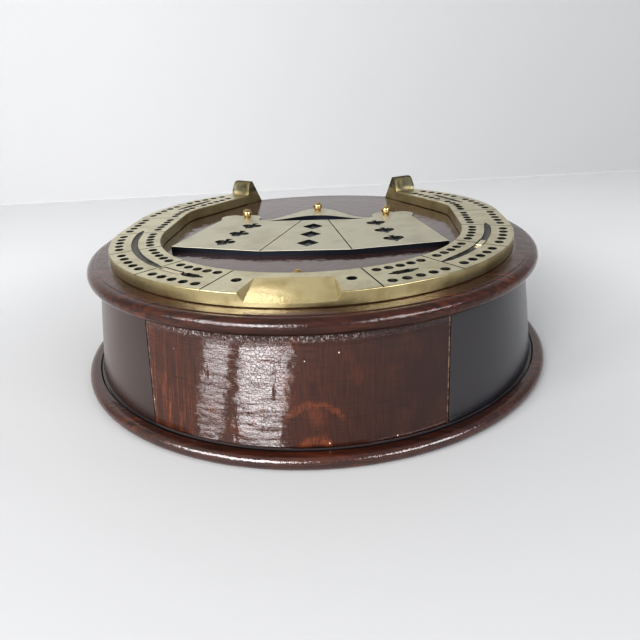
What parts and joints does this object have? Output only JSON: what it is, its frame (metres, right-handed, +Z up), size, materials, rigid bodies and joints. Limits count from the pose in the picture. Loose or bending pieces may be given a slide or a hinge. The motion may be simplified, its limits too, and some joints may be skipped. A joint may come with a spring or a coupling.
{
  "type": "cribbage board",
  "caption": "Cribbage board: brass horseshoe with peg holes and a brass fan of cards on a round moulded wooden box with a curved-front drawer and lift-out pegs.",
  "frame": {"origin": "centre of the underside of the base plinth", "axes": "+Z up; -Y is the front, where the shoe's toe and the drawer point; +X to the right seen from the front"},
  "size_m": [0.214, 0.214, 0.0654],
  "materials": {
    "mahogany": "glossy aged shellac",
    "drawer_face": "glossy crackled shellac",
    "plain_wood": "bare planed wood",
    "shoe_brass": "worn satin brass with dark recesses",
    "plate_brass": "worn satin brass",
    "peg_brass": "polished brass",
    "screw_steel": "dull steel",
    "pip_black": "black lacquer"
  },
  "bodies": {
    "case": {"base_plinth": "mahogany", "drum_wall": "mahogany", "top_board": "mahogany", "left_guide": "plain_wood", "right_guide": "plain_wood", "drawer_stop": "plain_wood", "horseshoe": "shoe_brass", "shoe_nails": "shoe_brass", "card_plate": "plate_brass", "club_pips": "pip_black", "diamond_pips": "pip_black", "spade_pips": "pip_black", "horseshoe_screws": "screw_steel", "card_plate_screws": "screw_steel", "base_screws": "screw_steel"},
    "drawer": {"drawer_front": "drawer_face", "drawer_left_side": "plain_wood", "drawer_right_side": "plain_wood", "drawer_back": "plain_wood", "drawer_bottom": "plain_wood", "drawer_screws": "screw_steel"},
    "left_peg": {"peg_left": "peg_brass"},
    "middle_peg": {"peg_middle": "peg_brass"},
    "right_peg": {"peg_right": "peg_brass"},
    "toe_peg": {"peg_toe": "peg_brass"}
  },
  "joints": [
    {"name": "drawer_slide", "type": "slide", "parent": "case", "child": "drawer", "axis": [0, -1, 0], "range_m": [0, 0.09]},
    {"name": "left_peg_lift", "type": "slide", "parent": "case", "child": "left_peg", "axis": [0, 0, 1], "range_m": [0, 0.03]},
    {"name": "middle_peg_lift", "type": "slide", "parent": "case", "child": "middle_peg", "axis": [0, 0, 1], "range_m": [0, 0.03]},
    {"name": "right_peg_lift", "type": "slide", "parent": "case", "child": "right_peg", "axis": [0, 0, 1], "range_m": [0, 0.03]},
    {"name": "toe_peg_lift", "type": "slide", "parent": "case", "child": "toe_peg", "axis": [0, 0, 1], "range_m": [0, 0.03]}
  ]
}
